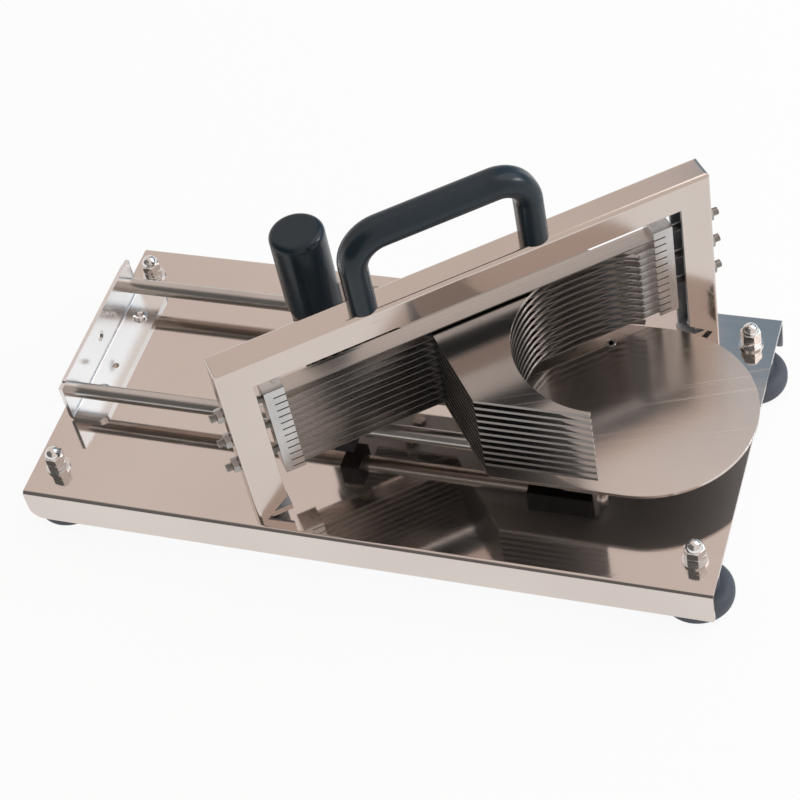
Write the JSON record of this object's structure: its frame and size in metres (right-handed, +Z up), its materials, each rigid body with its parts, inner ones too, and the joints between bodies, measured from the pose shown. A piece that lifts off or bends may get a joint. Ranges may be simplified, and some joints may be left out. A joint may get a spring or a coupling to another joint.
{
  "type": "tomato slicer",
  "caption": "Hand slicer: a handled slanted frame holds a stack of level blades over a steel base, and a knobbed fork of steel fins slides on guide rods to push a tomato through.",
  "frame": {"origin": "on the table, under the middle of the base plate", "axes": "+Z up, +X along the base from the knob's end to the tray's round end, the way of the cut, +Y to the rear side"},
  "size_m": [0.443, 0.2154, 0.2225],
  "materials": {
    "polished_sheet": "mirror polished",
    "frame_sheet": "polished",
    "fin_steel": "mirror polished",
    "blade_steel": "ground",
    "rod_steel": "ground and polished",
    "block_aluminium": "satin",
    "bright_fastener": "bright",
    "plain_fastener": "plain",
    "foot_rubber": "matte",
    "black_grip": "gloss",
    "slide_plastic": "matte"
  },
  "bodies": {
    "base": {"base_plate": "polished_sheet", "foot_pads": "foot_rubber", "foot_bolts": "plain_fastener", "foot_washers": "bright_fastener", "foot_lock_nuts": "bright_fastener", "foot_cap_nuts": "bright_fastener", "left_rod_bracket": "polished_sheet", "right_rod_bracket": "polished_sheet", "bracket_screws": "plain_fastener", "bracket_nuts": "plain_fastener", "front_guide_rod": "rod_steel", "rear_guide_rod": "rod_steel", "rod_end_screws": "plain_fastener", "blade_frame": "frame_sheet", "frame_bolts": "plain_fastener", "frame_nuts": "plain_fastener", "left_blade_block": "block_aluminium", "right_blade_block": "block_aluminium", "blade_1": "blade_steel", "blade_2": "blade_steel", "blade_3": "blade_steel", "blade_4": "blade_steel", "blade_5": "blade_steel", "blade_6": "blade_steel", "blade_7": "blade_steel", "blade_8": "blade_steel", "blade_9": "blade_steel", "blade_10": "blade_steel", "blade_11": "blade_steel", "blade_12": "blade_steel", "blade_pins": "plain_fastener", "tension_screws": "plain_fastener", "tension_nuts": "plain_fastener", "frame_handle": "black_grip", "handle_screws": "plain_fastener"},
    "carriage": {"carriage_tray": "polished_sheet", "front_left_slide": "slide_plastic", "front_right_slide": "slide_plastic", "rear_left_slide": "slide_plastic", "rear_right_slide": "slide_plastic", "slide_screws": "plain_fastener", "fin_1": "fin_steel", "fin_2": "fin_steel", "fin_3": "fin_steel", "fin_4": "fin_steel", "fin_5": "fin_steel", "fin_6": "fin_steel", "fin_7": "fin_steel", "fin_8": "fin_steel", "fin_9": "fin_steel", "fin_10": "fin_steel", "fin_11": "fin_steel", "fin_spacers": "plain_fastener", "clamp_bolts": "plain_fastener", "clamp_nuts": "plain_fastener", "knob_stud": "plain_fastener", "knob_nut": "plain_fastener", "push_knob": "black_grip"}
  },
  "joints": [
    {"name": "carriage_slide", "type": "slide", "parent": "base", "child": "carriage", "axis": [1, 0, 0], "range_m": [-0.148, 0]}
  ]
}
